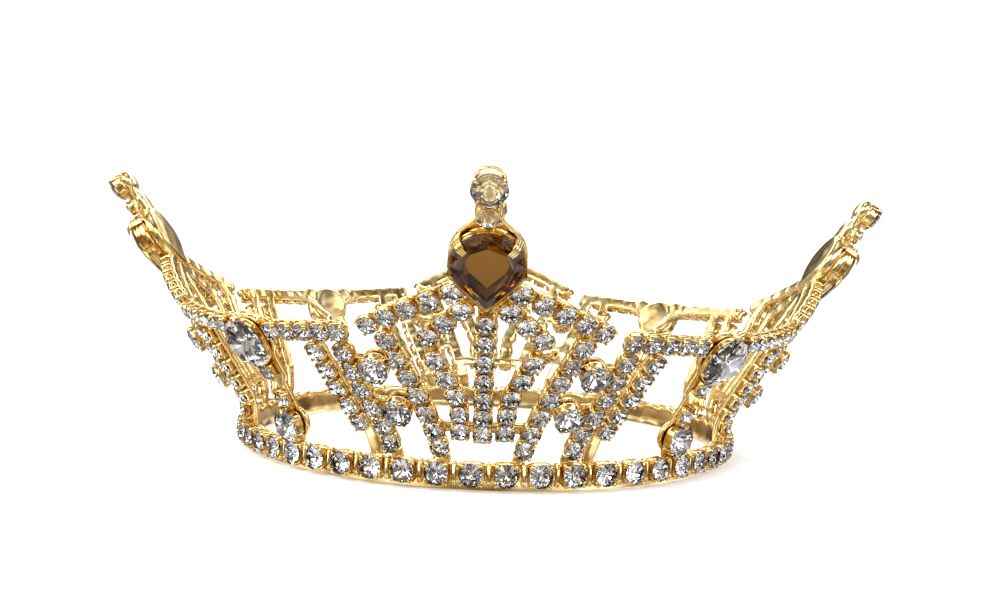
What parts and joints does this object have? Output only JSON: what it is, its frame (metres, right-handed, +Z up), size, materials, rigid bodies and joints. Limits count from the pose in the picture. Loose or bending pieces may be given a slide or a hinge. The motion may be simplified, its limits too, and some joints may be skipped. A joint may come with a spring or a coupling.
{
  "type": "crown",
  "caption": "Round gilt crown that flares into tall points, with openwork panels of stone chains, a drop-shaped stone near each point and a ring of stones round the base.",
  "frame": {"origin": "centre of the crown, on the flat lower edge of the base band", "axes": "+Z up along the crown's axis, -Y towards the front point, +X to the right as the crown is faced"},
  "size_m": [0.1842, 0.1842, 0.0618],
  "materials": {
    "gilt_metal": "polished",
    "gilt_settings": "polished",
    "clear_stone": "polished",
    "amber_stone": "polished"
  },
  "bodies": {
    "root": {"base_band": "gilt_metal", "base_cups": "gilt_settings", "base_stones": "clear_stone", "front_frame": "gilt_metal", "front_chain_cups": "gilt_settings", "front_chain_stones": "clear_stone", "front_round_cups": "gilt_settings", "front_round_stones": "clear_stone", "front_pear_cup": "gilt_settings", "front_pear_stone": "amber_stone", "front_finial_cups": "gilt_settings", "front_finial_stones": "clear_stone", "right_frame": "gilt_metal", "right_chain_cups": "gilt_settings", "right_chain_stones": "clear_stone", "right_round_cups": "gilt_settings", "right_round_stones": "clear_stone", "right_pear_cup": "gilt_settings", "right_pear_stone": "amber_stone", "right_finial_cups": "gilt_settings", "right_finial_stones": "clear_stone", "rear_frame": "gilt_metal", "rear_chain_cups": "gilt_settings", "rear_chain_stones": "clear_stone", "rear_round_cups": "gilt_settings", "rear_round_stones": "clear_stone", "rear_pear_cup": "gilt_settings", "rear_pear_stone": "amber_stone", "rear_finial_cups": "gilt_settings", "rear_finial_stones": "clear_stone", "left_frame": "gilt_metal", "left_chain_cups": "gilt_settings", "left_chain_stones": "clear_stone", "left_round_cups": "gilt_settings", "left_round_stones": "clear_stone", "left_pear_cup": "gilt_settings", "left_pear_stone": "amber_stone", "left_finial_cups": "gilt_settings", "left_finial_stones": "clear_stone", "front_right_valley_frame": "gilt_metal", "front_right_valley_chain_cups": "gilt_settings", "front_right_valley_chain_stones": "clear_stone", "front_right_valley_cups": "gilt_settings", "front_right_valley_stones": "clear_stone", "rear_right_valley_frame": "gilt_metal", "rear_right_valley_chain_cups": "gilt_settings", "rear_right_valley_chain_stones": "clear_stone", "rear_right_valley_cups": "gilt_settings", "rear_right_valley_stones": "clear_stone", "rear_left_valley_frame": "gilt_metal", "rear_left_valley_chain_cups": "gilt_settings", "rear_left_valley_chain_stones": "clear_stone", "rear_left_valley_cups": "gilt_settings", "rear_left_valley_stones": "clear_stone", "front_left_valley_frame": "gilt_metal", "front_left_valley_chain_cups": "gilt_settings", "front_left_valley_chain_stones": "clear_stone", "front_left_valley_cups": "gilt_settings", "front_left_valley_stones": "clear_stone"}
  },
  "joints": []
}
